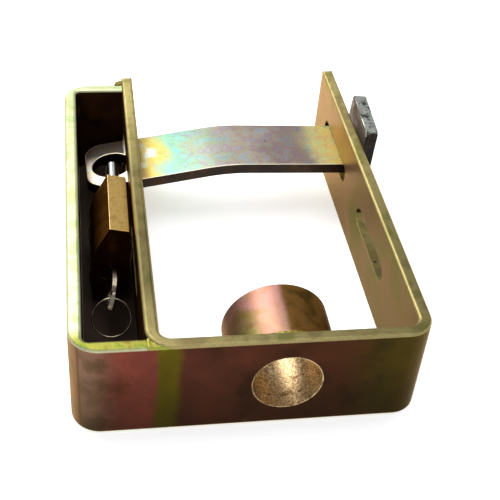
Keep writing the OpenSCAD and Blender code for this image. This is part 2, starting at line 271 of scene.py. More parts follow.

# %% [markdown]
# ## Effects that several finishes share
#
# Zinc passivation is a film a few hundred nanometres thick. Where it drained or dried unevenly
# its colour drifts between gold, green, pink and violet in soft clouds. A noise texture that is
# itself pushed about by a second noise gives such clouds, and a group with three colour inputs
# lets each part carry its own tints. Other groups do the sandblasted speckle with its little
# pits, and a mask for the softened edges, where the plating is rubbed and where the finishes
# lighten the colour as a painted highlight.

# %% Group: clouds of three tints
clouds, tin, tout = new_group("film_clouds",
    [("Vector", VECTOR, None), ("Size", FLOAT, 40.0), ("Contrast", FLOAT, 0.5),
     ("First", COLOUR, None), ("Second", COLOUR, None), ("Third", COLOUR, None)],
    [("Color", COLOUR)])
push = noise(clouds, tin.outputs["Vector"], 25.0, 2.0)
pushed = add_node(clouds, "ShaderNodeVectorMath",
    {0: push["Color"], 1: (0.012, 0.012, 0.012)}, operation="MULTIPLY")
moved = add_node(clouds, "ShaderNodeVectorMath",
    {0: tin.outputs["Vector"], 1: pushed.outputs[0]}, operation="ADD")
wide = noise(clouds, moved.outputs[0], tin.outputs["Size"], 4.0, 0.55)["Fac"]
spread = calculate(clouds, "MULTIPLY", tin.outputs["Contrast"], 0.28)
low = calculate(clouds, "SUBTRACT", 0.5, spread)
high = calculate(clouds, "ADD", 0.5, spread)
to_second = ramp_between(clouds, wide, low, 0.5)
to_third = ramp_between(clouds, wide, 0.5, high)
first_mix = mix_colour(clouds, to_second, tin.outputs["First"], tin.outputs["Second"])
clouds.links.new(mix_colour(clouds, to_third, first_mix, tin.outputs["Third"]),
    tout.inputs["Color"])
print("film_clouds:", len(clouds.nodes), "nodes")

# %% Group: speckle and pits
speckle, sin_, sout = new_group("speckle_and_pits",
    [("Vector", VECTOR, None), ("Speckle Size", FLOAT, 900.0), ("Pit Size", FLOAT, 130.0),
     ("Pit Amount", FLOAT, 0.12)],
    [("Speckle", FLOAT), ("Pits", FLOAT), ("Height", FLOAT)])
fine = noise(speckle, sin_.outputs["Vector"], sin_.outputs["Speckle Size"], 3.0, 0.7)["Fac"]
cells = add_node(speckle, "ShaderNodeTexVoronoi",
    {"Vector": sin_.outputs["Vector"], "Scale": sin_.outputs["Pit Size"]})
rare = add_node(speckle, "ShaderNodeSeparateColor", {0: cells.outputs["Color"]})
chosen = calculate(speckle, "LESS_THAN", rare.outputs[0], sin_.outputs["Pit Amount"])
dot = ramp_between(speckle, cells.outputs["Distance"], 0.06, 0.16, 1.0, 0.0)
pits = calculate(speckle, "MULTIPLY", chosen, dot)
height = calculate(speckle, "MULTIPLY_ADD", fine, 0.35,
    calculate(speckle, "MULTIPLY", pits, -1.0))
speckle.links.new(fine, sout.inputs["Speckle"])
speckle.links.new(pits, sout.inputs["Pits"])
speckle.links.new(height, sout.inputs["Height"])
print("speckle_and_pits:", len(speckle.nodes), "nodes")

# %% Group: which way a surface faces, on the flat bar
facing, fin, fout = new_group("bar_facing", [("Normal", VECTOR, None)],
    [("Top", FLOAT), ("Front", FLOAT), ("Rounded Edge", FLOAT)])
axes = add_node(facing, "ShaderNodeSeparateXYZ", {0: fin.outputs["Normal"]})
upward = calculate(facing, "ABSOLUTE", axes.outputs["Z"])
facing.links.new(ramp_between(facing, upward, 0.55, 0.8), fout.inputs["Top"])
forward = calculate(facing, "MULTIPLY", axes.outputs["Y"], -1.0)
facing.links.new(ramp_between(facing, forward, 0.35, 0.8), fout.inputs["Front"])
rising = ramp_between(facing, upward, 0.12, 0.45)
falling = ramp_between(facing, upward, 0.75, 0.97, 1.0, 0.0)
facing.links.new(calculate(facing, "MULTIPLY", rising, falling), fout.inputs["Rounded Edge"])
print("bar_facing:", len(facing.nodes), "nodes")

# %% [markdown]
# ## The yellow zinc finishes
#
# Each face of the frame gets its own look. The film's hues are the plating's own, but how light
# or dark a face is, is painted light and shade by which way it looks. The upper edges are
# painted pale and greenish as lit faces, the arms' faces khaki with pink clouds, and the long
# front face, which looks away from the light, a dark plum in painted shade, with an olive stripe
# down the welded seam. So one function builds the finish, and a small dictionary of tints says
# what each part's faces are.


# %% Finish: yellow zinc on flat bar
def start_material(name):
    """A new node material: its tree, its Principled shader and its Object coordinates."""
    material = bpy.data.materials.new(name)
    material.use_nodes = True
    tree = material.node_tree
    shader = tree.nodes["Principled BSDF"]
    place = tree.nodes.new("ShaderNodeTexCoord")
    return material, tree, shader, place


def put_group(tree, group, inputs):
    """Places a shared group in a material and sets its inputs."""
    return add_node(tree, "ShaderNodeGroup", inputs, node_tree=group)


def cloud_colour(tree, vector, size, tints):
    """Soft clouds between three paint chart colours."""
    first, second, third = (srgb(*tint) for tint in tints)
    return put_group(tree, clouds, {"Vector": vector, "Size": size, "Contrast": 0.6,
        "First": first, "Second": second, "Third": third}).outputs["Color"]


def paint_shader(tree, shader, colour, roughness, metallic, height, strength, depth=0.0002):
    """Feeds a finish to the shader, with its grain as a bump of the given strength."""
    bump = add_node(tree, "ShaderNodeBump",
        {"Height": height, "Strength": strength, "Distance": depth})
    wire(tree, shader, {"Base Color": colour, "Roughness": roughness, "Metallic": metallic,
        "Normal": bump.outputs["Normal"]})


def brushed_grain(tree, where, grain_scale):
    """Noise stretched along a part, as brushing or casting leaves it."""
    stretched = add_node(tree, "ShaderNodeMapping", {"Vector": where, "Scale": grain_scale})
    return noise(tree, stretched.outputs[0], 1.0, 5.0, 0.65)["Fac"]


def zinc_finish(name, tints, front, top=None, side=None, shade=None, bore=None, shine=0.7,
                rough=0.38, edge_glow=0.5):
    """Yellow zinc, as lit and shaded copies by which way a face looks: upper faces lighter as
    painted light, front faces darker as painted shade. front, and top and side where a part has
    them, are functions of (tree, place) that give a pattern; otherwise tints has the clouds. shade
    gives a mask for painted shade, where faces are darkened as if in shadow, and bore gives a mask
    and a colour for a bored hole's wall."""
    material, tree, shader, place = start_material(name)
    where = place.outputs["Object"]
    faces = put_group(tree, facing, {"Normal": place.outputs["Normal"]})
    grain = put_group(tree, speckle, {"Vector": where, "Speckle Size": 1500.0,
        "Pit Size": 120.0, "Pit Amount": 0.05})
    side_colour = side(tree, place) if side else cloud_colour(tree, where, 26.0, tints["side"])
    top_colour = top(tree, place) if top else cloud_colour(tree, where, 75.0, tints["top"])
    colour = mix_colour(tree, faces.outputs["Front"], side_colour, front(tree, place))
    if shade:
        colour = mix_colour(tree, shade(tree, place), colour,
            cloud_colour(tree, where, 60.0, tints["shade"]))
    colour = mix_colour(tree, faces.outputs["Top"], colour, top_colour)
    # Painted highlight: rounded edges are lightened towards the edge tint.
    painted_light = times(tree, faces.outputs["Rounded Edge"], edge_glow)
    colour = mix_colour(tree, painted_light, colour, tints["edge"])
    if bore:
        in_bore, bore_colour = bore(tree, place)
        colour = mix_colour(tree, in_bore, colour, bore_colour)
    mottled = ramp_between(tree, grain.outputs["Speckle"], 0.3, 0.7, 0.82, 1.12)
    colour = tinted(tree, colour, mottled)
    colour = mix_colour(tree, times(tree, grain.outputs["Pits"], 0.75), colour, ZINC_PIT)
    roughness = ramp_between(tree, grain.outputs["Speckle"], 0.25, 0.75, rough - 0.08, rough + 0.1)
    paint_shader(tree, shader, colour, roughness, shine, grain.outputs["Height"], 0.35, 0.00025)
    shader.inputs["Specular IOR Level"].default_value = 0.2
    shader.inputs["Specular Tint"].default_value = srgb(232, 208, 164)
    return material


ZINC_PIT = srgb(52, 36, 20)
print("zinc finish ready")

# %% [markdown]
# The front face is one long picture of how the plating drained: mauve at the left end, then
# rose, olive green down the ground seam weld, plum that browns past the hole, and olive again
# at the right-hand bend. Since it looks away from the light, the bands are kept dark as painted
# shade, darkest at the foot and lighter under the top edge. A colour ramp across the width gives
# the bands, and the same clouds as elsewhere break them up.

# %% The frame's corner, and the front face's stripes
corner = Vector((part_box("padlock_guard")[0].x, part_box("yoke")[0].y, 0))
FRAME_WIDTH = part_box("yoke")[1].x - corner.x
STRIP_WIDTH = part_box("yoke")[1].z
BLANK_X, BLANK_RADIUS, BORE_RADIUS = 91, 24, 15
MAUVE, ROSE, OLIVE, PLUM = (116, 90, 76), (102, 50, 42), (78, 70, 6), (68, 33, 26)
FRONT_BANDS = ((7, MAUVE), (22, ROSE), (33, ROSE), (36, OLIVE), (42, OLIVE), (47, PLUM),
    (112, (58, 29, 16)), (134, (56, 46, 4)))


def fade_along(tree, place, axis, start, end, at_start, at_end):
    """A value that runs from at_start to at_end between two distances in millimetres from the
    frame's corner, measured along an axis."""
    base = corner["XYZ".index(axis)]
    return ramp_between(tree, split_xyz(tree, place.outputs["Object"])[axis],
        base + start * MM, base + end * MM, at_start, at_end)


def bands_across(tree, where, bands, size, detail, sway):
    """Bands of colour across the frame's width, which a noise of some size sways in metres."""
    wander = noise(tree, where, size, detail)["Fac"]
    drift = calculate(tree, "MULTIPLY_ADD", wander, sway, -sway / 2 - corner.x)
    across = calculate(tree, "DIVIDE", calculate(tree, "ADD", split_xyz(tree, where)["X"], drift),
        FRAME_WIDTH, clamp=True)
    return colour_bands(tree, across, [(x * MM / FRAME_WIDTH, srgb(*tint)) for x, tint in bands])


def front_stripes(tree, place):
    """The front face's bands across its width, darker towards the foot as painted shade."""
    where = place.outputs["Object"]
    bands = bands_across(tree, where, FRONT_BANDS, 30.0, 3.0, 0.008)
    clouded = cloud_colour(tree, where, 42.0,
        ((170, 170, 150), (225, 220, 215), (255, 245, 235)))
    # Painted shade: darker towards the foot, lighter under the top edge.
    fade = ramp_between(tree, split_xyz(tree, where)["Z"], 0.0, STRIP_WIDTH, 0.62, 1.25)
    return tinted(tree, tinted(tree, bands, clouded), fade)


def channel_shade_mask(tree, place):
    """A mask for the faces inside the padlock channel, which are darkened there as painted shade.
    """
    low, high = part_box("padlock_guard")
    parts = split_xyz(tree, place.outputs["Object"])
    wall = 3 * MM
    x_share = times(tree, ramp_between(tree, parts["X"], low.x + wall, low.x + 1.4 * wall),
        ramp_between(tree, parts["X"], high.x + wall, high.x + 1.1 * wall, 1.0, 0.0))
    y_share = times(tree, ramp_between(tree, parts["Y"], low.y + wall, low.y + 1.4 * wall),
        ramp_between(tree, parts["Y"], high.y - 1.4 * wall, high.y - wall, 1.0, 0.0))
    return times(tree, x_share, y_share)


print("front bands:", len(FRONT_BANDS))

# %% The frame's four zinc materials
# Top tints are painted light, shade tints painted shade; edge colours the painted highlight.
YOKE_TINTS = {
    "side": ((148, 118, 68), (164, 126, 92), (126, 124, 52)),
    "top": ((164, 148, 98), (190, 176, 116), (154, 148, 86)),
    "shade": ((54, 28, 14), (66, 40, 18), (42, 24, 12)),
    "edge": srgb(206, 190, 128)}
GUARD_TINTS = dict(YOKE_TINTS,
    top=((178, 188, 132), (196, 206, 160), (160, 182, 124)),
    edge=srgb(206, 214, 170))
# The tube's side tints are its lit flank, painted light; its dark tints are painted shade.
TUBE_TINTS = dict(YOKE_TINTS,
    side=((140, 102, 72), (162, 118, 108), (128, 108, 50)),
    edge=srgb(250, 214, 150))
TUBE_SHADE = ((92, 66, 30), (112, 78, 38), (74, 54, 22))
BORE_GOLD = ((206, 172, 124), (228, 198, 152), (170, 136, 92))
BEAD_TINTS = dict(YOKE_TINTS,
    side=((104, 94, 34), (128, 128, 50), (84, 66, 26)),
    top=((84, 112, 30), (132, 132, 56), (112, 90, 40)),
    edge=srgb(186, 200, 96))


def yoke_top(tree, place):
    """The yoke's upper edges: palest at the far end of the inner arm, as painted light, with
    painted shade along the middle of the inner arm's top.
    """
    tint = cloud_colour(tree, place.outputs["Object"], 75.0, YOKE_TINTS["top"])
    # Painted light and shade: lighter towards the far ends, darker along the inner arm.
    fade = times(tree, fade_along(tree, place, "Y", 40, 190, 0.52, 1.12),
        fade_along(tree, place, "X", 31, 150, 0.86, 0.78))
    inner_arm_shade = times(tree, fade_along(tree, place, "X", 37, 45, 0.5, 0.0),
        times(tree, fade_along(tree, place, "Y", 12, 40, 0.0, 1.0),
            fade_along(tree, place, "Y", 110, 200, 1.0, 0.0)))
    fade = times(tree, fade, calculate(tree, "SUBTRACT", 1.0, inner_arm_shade))
    return tinted(tree, tint, fade)


def yoke_side(tree, place):
    """The arms' faces: brown near the base and paler towards their ends."""
    tint = cloud_colour(tree, place.outputs["Object"], 26.0, YOKE_TINTS["side"])
    return tinted(tree, tint, fade_along(tree, place, "Y", 90, 205, 0.34, 1.0))


def guard_top(tree, place):
    """The guard's upper edge: pale along the rail, painted light as a lit top, green and olive
    over the front return.
    """
    where = place.outputs["Object"]
    pale = cloud_colour(tree, where, 75.0, GUARD_TINTS["top"])
    green = cloud_colour(tree, where, 160.0, BEAD_TINTS["top"])
    return mix_colour(tree, fade_along(tree, place, "Y", 6, 15, 1.0, 0.0), pale, green)


def blank_reach(tree, place):
    """How far a point is across, and how far out, from the ball blank's centre line."""
    parts = split_xyz(tree, place.outputs["Object"])
    across = calculate(tree, "SUBTRACT", parts["X"], corner.x + BLANK_X * MM)
    height = calculate(tree, "SUBTRACT", parts["Z"], STRIP_WIDTH / 2)
    square = calculate(tree, "ADD", times(tree, across, across), times(tree, height, height))
    return across, calculate(tree, "SQRT", square)


def bored_wall(tree, place):
    """A mask for the wall of the bore, and its gold with dark tool specks, darker on the left as
    painted shade.
    """
    across, reach = blank_reach(tree, place)
    mask = ramp_between(tree, reach, (BORE_RADIUS + 0.3) * MM, (BORE_RADIUS + 0.6) * MM, 1.0, 0.0)
    specks = noise(tree, place.outputs["Object"], 1300.0, 2.0, 0.7)["Fac"]
    gold = tinted(tree, cloud_colour(tree, place.outputs["Object"], 300.0, BORE_GOLD),
        ramp_between(tree, specks, 0.42, 0.56, 0.42, 1.1))
    # Painted shade: the bore's gold is darker towards its left side.
    return mask, tinted(tree, gold, ramp_between(tree, across, -14 * MM, 4 * MM, 0.55, 0.9))


def guard_side(tree, place):
    """The guard's outer face: brown round the front bend, then olive and gold."""
    where = place.outputs["Object"]
    brown = cloud_colour(tree, where, 40.0,
        ((122, 88, 62), (132, 96, 72), (104, 78, 46)))
    gold = cloud_colour(tree, where, 26.0, GUARD_TINTS["side"])
    return mix_colour(tree, fade_along(tree, place, "Y", 14, 90, 0.0, 1.0), brown, gold)


def tube_colours(tree, place):
    """The blank: pink gold on its left flank, lit as painted light, dark olive on its right as
    painted shade, and green by its weld.
    """
    where = place.outputs["Object"]
    across = blank_reach(tree, place)[0]
    painted_light = cloud_colour(tree, where, 40.0, TUBE_TINTS["side"])
    green = cloud_colour(tree, where, 120.0, BEAD_TINTS["top"])
    by_weld = times(tree, fade_along(tree, place, "Y", 10, 26, 1.0, 0.0),
        ramp_between(tree, across, -20 * MM, -6 * MM, 1.0, 0.2))
    painted_light = mix_colour(tree, by_weld, painted_light, green)
    # Painted shade on the right flank; the left flank is painted light.
    dark = cloud_colour(tree, where, 90.0, TUBE_SHADE)
    return mix_colour(tree, ramp_between(tree, across, -1.5 * MM, 1.5 * MM), painted_light, dark)


zinc_yoke = zinc_finish("zinc_yoke", YOKE_TINTS, front=front_stripes, top=yoke_top,
    side=yoke_side, shade=channel_shade_mask, bore=bored_wall)
zinc_guard = zinc_finish("zinc_guard", GUARD_TINTS, front=front_stripes, top=guard_top,
    side=guard_side, shade=channel_shade_mask, edge_glow=0.6)
zinc_tube = zinc_finish("zinc_tube", TUBE_TINTS, front=tube_colours, top=tube_colours,
    side=tube_colours, bore=bored_wall, shine=0.8, rough=0.4, edge_glow=0.0)
zinc_bead = zinc_finish("zinc_bead", BEAD_TINTS, front=front_stripes, rough=0.42)
print("zinc materials:", [m.name for m in (zinc_yoke, zinc_guard, zinc_tube, zinc_bead)])

# %% [markdown]
# The cross bar wears the liveliest film, since it hung flat in the bath: silver at the tab,
# there partly a painted highlight, gold at the inner arm, then pale green and ice blue, then
# pink and violet over the bend, and yellow-green again at the outer slot. Noise stands for the
# film's thickness, and its hues break up those bands. The bar's edges, the faces that don't look
# up, are painted dark as shade, the tab's far part gets a painted shadow, and the rounded edges
# a painted highlight.

# %% Finish: iridescent zinc on the cross bar
# The silver band at the tab is partly the film's colour and partly a painted highlight.
SILVER_HIGHLIGHT, GOLD, PALE_GREEN = (240, 238, 226), (202, 190, 106), (142, 204, 190)
GREY_BLUE = (172, 190, 182)
PINK_GREY, VIOLET_GREY, YELLOW_GREEN = (190, 186, 184), (152, 140, 142), (226, 230, 166)
BAR_BANDS = ((30, SILVER_HIGHLIGHT), (40, GOLD), (54, PALE_GREEN), (74, GREY_BLUE), (92, PINK_GREY),
    (120, VIOLET_GREY), (143, YELLOW_GREEN))
FILM_HUES = ((0.3, (120, 190, 200)), (0.42, (214, 226, 230)), (0.49, (236, 216, 128)),
    (0.56, (226, 170, 190)), (0.63, (216, 222, 226)), (0.74, (150, 206, 176)))


def cross_bar_finish():
    """Interference colours in bands along the bar, with its edges painted dark as shade, a
    painted shadow on the tab's far part and a painted highlight on the rounded edges.
    """
    material, tree, shader, place = start_material("zinc_bar")
    where = place.outputs["Object"]
    upward = split_xyz(tree, place.outputs["Normal"])["Z"]
    hues = colour_bands(tree, noise(tree, where, 120.0, 6.0, 0.66)["Fac"],
        [(level, srgb(*tint)) for level, tint in FILM_HUES])
    film = mix_colour(tree, 0.55, bands_across(tree, where, BAR_BANDS, 60.0, 4.0, 0.05), hues,
        "MULTIPLY")
    grain = put_group(tree, speckle, {"Vector": where, "Speckle Size": 1800.0,
        "Pit Size": 160.0, "Pit Amount": 0.04})
    flat = ramp_between(tree, calculate(tree, "ABSOLUTE", upward), 0.3, 0.8)
    # Painted shade for the faces that don't look up, and painted shadow on the tab's far part.
    side_shade_tint = cloud_colour(tree, where, 70.0,
        ((26, 17, 10), (40, 27, 16), (56, 34, 16)))
    tab_shade = times(tree, fade_along(tree, place, "X", 30, 31.5, 1.0, 0.0),
        fade_along(tree, place, "Y", 160, 172, 0.0, 0.95))
    film = mix_colour(tree, tab_shade, film, side_shade_tint)
    colour = mix_colour(tree, flat, side_shade_tint, film)
    # Painted highlight on the rounded edges.
    rim_highlight = times(tree, ramp_between(tree, upward, 0.5, 0.75),
        ramp_between(tree, upward, 0.93, 0.99, 1.0, 0.0))
    colour = mix_colour(tree, times(tree, rim_highlight, 0.8), colour, srgb(250, 240, 210))
    colour = mix_colour(tree, times(tree, grain.outputs["Pits"], 0.6), colour, ZINC_PIT)
    roughness = ramp_between(tree, grain.outputs["Speckle"], 0.25, 0.75, 0.24, 0.42)
    paint_shader(tree, shader, colour, roughness, 0.75, grain.outputs["Height"], 0.3)
    return material


zinc_bar = cross_bar_finish()
print("bar bands:", len(BAR_BANDS))


# %% Finish: plain metals with brushed or cast grain
def metal_finish(name, tints, grain_scale, rough, bump=0.15, dark=0.25):
    """A metal with clouds of tint and a grain; grain_scale stretches the grain per axis."""
    material, tree, shader, place = start_material(name)
    where = place.outputs["Object"]
    grain = brushed_grain(tree, where, grain_scale)
    colour = tinted(tree, cloud_colour(tree, where, 60.0, tints),
        ramp_between(tree, grain, 0.3, 0.7, 1.0 - dark, 1.05))
    roughness = ramp_between(tree, grain, 0.3, 0.7, rough + 0.08, rough - 0.04)
    paint_shader(tree, shader, colour, roughness, 1.0, grain, bump)
    return material


chrome = metal_finish("chrome", ((214, 216, 220), (232, 234, 238), (222, 224, 228)),
    (300, 90, 300), 0.07, bump=0.02, dark=0.04)
brass_plain = metal_finish("brass_plain",
    ((176, 140, 70), (196, 160, 90), (150, 116, 56)), (900, 900, 900), 0.3)
steel_plain = metal_finish("steel_plain",
    ((160, 160, 162), (190, 190, 192), (130, 128, 126)), (700, 700, 700), 0.3)
nickel = metal_finish("nickel", ((116, 106, 90), (146, 136, 118), (80, 68, 52)),
    (700, 120, 700), 0.2, bump=0.1)
print("metals:", [m.name for m in (chrome, brass_plain, steel_plain, nickel)])

# %% [markdown]
# Two metals depend on which way a face looks, as lit and shaded copies of one metal. The
# padlock's narrow upper face is pale gold, as painted light; its broad faces turn orange and then
# nearly black as they go down into the channel, as painted shade, and the key face is dark
# brown, also painted shade. The head's top is mottled grey with one ground edge that shines, a
# painted highlight, and its faces that look forward are almost black, as painted shade.


# %% Finish: faces that differ
def faced_finish(name, top, side, front, grain_scale, rough, rim_highlight, rim_slope, shine=0.9,
                 shade_depth=None):
    """A metal with clouds of its own for upper, side and front faces, as lit and shaded copies:
    upper faces lighter as painted light, front faces darker as painted shade. rim, a painted
    highlight, tints an upper edge that slopes to the left by more than rim_slope, and deep is the
    depth range over which side faces go dark as painted shade."""
    material, tree, shader, place = start_material(name)
    where = place.outputs["Object"]
    faces = put_group(tree, facing, {"Normal": place.outputs["Normal"]})
    grain = brushed_grain(tree, where, grain_scale)
    side_colour = cloud_colour(tree, where, 60.0, side)
    # Painted shade: side faces darken lower down.
    if shade_depth:
        side_colour = tinted(tree, side_colour,
            fade_along(tree, place, "Z", shade_depth[0], shade_depth[1], 0.12, 1.0))
    colour = mix_colour(tree, faces.outputs["Front"], side_colour,
        cloud_colour(tree, where, 60.0, front))
    colour = mix_colour(tree, faces.outputs["Top"], colour, cloud_colour(tree, where, 240.0, top))
    parts = split_xyz(tree, place.outputs["Normal"])
    # Painted highlight on upper edges that slope to the left.
    sloping = times(tree, ramp_between(tree, parts["X"], -0.4, -0.28, 1.0, 0.0),
        ramp_between(tree, parts["Z"], rim_slope, rim_slope + 0.12))
    colour = tinted(tree, mix_colour(tree, sloping, colour, rim_highlight),
        ramp_between(tree, grain, 0.3, 0.7, 0.82, 1.06))
    roughness = ramp_between(tree, grain, 0.3, 0.7, rough + 0.08, rough - 0.04)
    paint_shader(tree, shader, colour, roughness, shine, grain, 0.2)
    shader.inputs["Specular IOR Level"].default_value = 0.2
    return material


# Narrow face lit as painted light; broad faces and key face darkened as painted shade.
brass_case = faced_finish("brass_case",
    ((190, 156, 84), (206, 168, 96), (178, 144, 76)),
    ((168, 112, 40), (190, 128, 52), (150, 96, 30)),
    ((66, 34, 10), (78, 42, 14), (52, 26, 8)), (1500, 90, 1500), 0.3,
    srgb(255, 236, 190), 0.55, shade_depth=(28, 42))
# Painted highlight on the ground edge; forward-looking faces nearly black as painted shade.
zinc_head = faced_finish("zinc_head",
    ((96, 100, 92), (146, 150, 142), (46, 48, 43)),
    ((120, 104, 92), (140, 128, 118), (96, 84, 70)),
    ((30, 22, 16), (44, 34, 26), (20, 15, 11)), (420, 420, 420), 0.4,
    srgb(250, 255, 250), 0.18, shine=0.45)
print("faced metals:", brass_case.name, zinc_head.name)

# %% [markdown]
# ## Modelling helpers
#
# Each part starts as a box, a disc or a tube of the right size and is then worked as a smith
# works it: cut, pulled, bent, pierced, and its edges broken. The helpers keep one rule, that
# nothing is selected before an operator runs except what it should act on.


# %% Modelling helpers
def mm(x, y, z=0.0):
    """A point given in millimetres from the guard's outer front corner, on the floor."""
    return corner + Vector((x, y, z)) * MM


def only(piece):
    """Selects one object alone and makes it active, in object mode."""
    if bpy.context.object and bpy.context.object.mode != "OBJECT":
        bpy.ops.object.mode_set(mode="OBJECT")
    select_nothing()
    piece.select_set(True)
    bpy.context.view_layer.objects.active = piece
    return piece


def name_fresh(name):
    """Names the primitive just added and applies its place to its mesh."""
    piece = bpy.context.object
    piece.name = name
    bpy.ops.object.transform_apply(location=True, rotation=True, scale=True)
    return piece


def smooth_under(piece, degrees):
    """Shades a piece smooth, apart from edges sharper than an angle."""
    only(piece)
    bpy.ops.object.shade_smooth_by_angle(angle=math.radians(degrees))


def join_pair(first, second, name):
    """Makes one piece of two."""
    only(first)
    second.select_set(True)
    bpy.ops.object.join()
    first.name = name
    return first


def start_box(name, low, high):
    """A box between two corners, in metres."""
    select_nothing()
    middle = (Vector(low) + Vector(high)) / 2
    bpy.ops.mesh.primitive_cube_add(size=1, location=middle, scale=Vector(high) - Vector(low))
    return name_fresh(name)


def start_rod(name, middle, radius, length, axis, sides=64):
    """A cylinder about a middle point, along axis, in metres."""
    select_nothing()
    bpy.ops.mesh.primitive_cylinder_add(vertices=sides, radius=radius, depth=length,
        location=middle, rotation=Vector(axis).to_track_quat("Z", "Y").to_euler())
    return name_fresh(name)


def leave_edit():
    """Goes back to object mode, which writes the edited mesh."""
    bpy.ops.object.mode_set(mode="OBJECT")


def pick(piece, kind, test):
    """In edit mode, selects only the verts, edges or faces that pass test; says how many."""
    only(piece)
    bpy.ops.object.mode_set(mode="EDIT")
    bpy.ops.mesh.select_mode(type={"verts": "VERT", "edges": "EDGE", "faces": "FACE"}[kind])
    bpy.ops.mesh.select_all(action="DESELECT")
    mesh = bmesh.from_edit_mesh(piece.data)
    chosen = [part for part in getattr(mesh, kind) if test(part)]
    for part in chosen:
        part.select_set(True)
    mesh.select_flush_mode()
    bmesh.update_edit_mesh(piece.data)
    return len(chosen)


def slice_through(piece, place, normal, drop_outer=False):
    """Cuts the whole piece along a plane, and can take away what lies beyond it."""
    only(piece)
    bpy.ops.object.mode_set(mode="EDIT")
    bpy.ops.mesh.select_all(action="SELECT")
    bpy.ops.mesh.bisect(plane_co=place, plane_no=normal, use_fill=drop_outer,
        clear_outer=drop_outer)
    leave_edit()


def pull(x, y, z):
    """Extrudes what is selected by a distance in millimetres."""
    bpy.ops.mesh.extrude_region_move(TRANSFORM_OT_translate={"value": (x * MM, y * MM, z * MM)})


def round_edges(piece, test, width, steps):
    """Rounds the edges that pass test."""
    found = pick(piece, "edges", test)
    bpy.ops.mesh.bevel(offset=width, segments=steps, profile=0.5, affect="EDGES")
    leave_edit()
    return found


def upright(edge, x=None, y=None):
    """True for a vertical edge at the given place, in metres."""
    a, b = edge.verts[0].co, edge.verts[1].co
    if abs(a.x - b.x) > 1e-5 or abs(a.y - b.y) > 1e-5:
        return False
    near_x = x is None or abs(a.x - x) < 2e-4
    return near_x and (y is None or abs(a.y - y) < 2e-4)


def apply_modifier(piece, kind, **settings):
    """Adds a modifier, sets it and applies it."""
    only(piece)
    made = piece.modifiers.new(kind.lower(), kind)
    for key, value in settings.items():
        setattr(made, key, value)
    bpy.ops.object.modifier_apply(modifier=made.name)


def carve(piece, cutter, operation="DIFFERENCE"):
    """Takes cutter's shape out of piece, or joins it on, and removes the cutter."""
    apply_modifier(piece, "BOOLEAN", object=cutter, operation=operation, solver="EXACT")
    bpy.data.objects.remove(cutter)


def merge_flats(piece):
    """Dissolves the lines that lie inside flat faces."""
    pick(piece, "edges", lambda e: True)
    bpy.ops.mesh.dissolve_limited(angle_limit=math.radians(1))
    leave_edit()


def settle(piece):
    """Shades the flats flat and the rounds round."""
    smooth_under(piece, 40)
    apply_modifier(piece, "WEIGHTED_NORMAL", keep_sharp=True)


def break_edges(piece, width, steps=3, angle=35):
    """Rounds every sharp edge a little, then settles the shading."""
    apply_modifier(piece, "BEVEL", width=width, segments=steps, limit_method="ANGLE",
        angle_limit=math.radians(angle), use_clamp_overlap=True)
    settle(piece)


def roll_edges(piece, width, skip=lambda point: False):
    """Rounds the long upper and lower edges of a strip, apart from its welded ends."""
    def on_face(edge):
        a, b = edge.verts[0].co, edge.verts[1].co
        level = abs(a.z - b.z) < 1e-6 and (a.z < 1e-6 or a.z > STRIP_WIDTH - 1e-6)
        return level and not (skip(a) and skip(b))
    return round_edges(piece, on_face, width, 5)


def block_mm(name, low, high):
    """A box between two corners given in millimetres from the origin."""
    return start_box(name, Vector(low) * MM, Vector(high) * MM)


def rod_mm(name, middle, radius, length, axis, sides):
    """A cylinder about a middle point given in millimetres from the origin."""
    return start_rod(name, Vector(middle) * MM, radius * MM, length * MM, axis, sides)


def turned(piece, matrix):
    """Moves a piece drawn at the origin to its place, and applies that to its mesh."""
    piece.matrix_world = matrix
    only(piece)
    bpy.ops.object.transform_apply(location=True, rotation=True, scale=True)
    return piece


def hand_over(piece, nodes, body, material):
    """Gives the piece its material and its body, and hides the CAD nodes it stands for."""
    piece.data.materials.clear()
    piece.data.materials.append(material)
    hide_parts(*nodes)
    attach(piece, body)
    print(piece.name, len(piece.data.polygons), "faces,", open_edges(piece), "open edges")


def open_edges(piece):
    """How many edges don't join exactly two faces."""
    mesh = bmesh.new()
    mesh.from_mesh(piece.data)
    count = sum(len(edge.link_faces) != 2 for edge in mesh.edges)
    mesh.free()
    return count


print("modelling helpers ready")

# %% [markdown]
# ## The yoke
#
# The yoke is one strip of 50 x 6 flat bar bent twice. A sweep along a path would do, but it is
# quicker and cleaner to pull the two arms out of the base and then round the four upright edges
# of each bend: a wide radius outside, a tight one inside. The slots and the hole for the ball
# blank are pierced with a rounded block and a cylinder. Rolled bar has round long edges, and its
# tips are dressed to match; the edges of the piercings are only broken slightly, as tumbling and
# plating leave them.

# %% Yoke: base and arms
STRIP = 6
INNER_ARM_X, OUTER_ARM_X, INNER_ARM_END = 31, 147, 210
ROLLED_EDGE, TIP_EDGE, PIERCED_EDGE = 1.6, 1.3, 0.5
OUTER_BEND, INNER_BEND = 12, 5
strip_top = STRIP_WIDTH / MM
outer_arm_end = (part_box("yoke")[1].y - corner.y) / MM
yoke = start_box("yoke_strip", mm(INNER_ARM_X, 0), mm(OUTER_ARM_X + STRIP, STRIP, strip_top))
slice_through(yoke, mm(INNER_ARM_X + STRIP, 0), (1, 0, 0))
slice_through(yoke, mm(OUTER_ARM_X, 0), (1, 0, 0))
for end, low_x in ((INNER_ARM_END, INNER_ARM_X), (outer_arm_end, OUTER_ARM_X)):
    pick(yoke, "faces", lambda f: f.normal.y > 0.9
         and abs(f.calc_center_median().x - mm(low_x + STRIP / 2, 0).x) < 1e-4)
    pull(0, end - STRIP, 0)
    leave_edit()
merge_flats(yoke)
print("arms end at", INNER_ARM_END, "and", round(outer_arm_end), "mm")

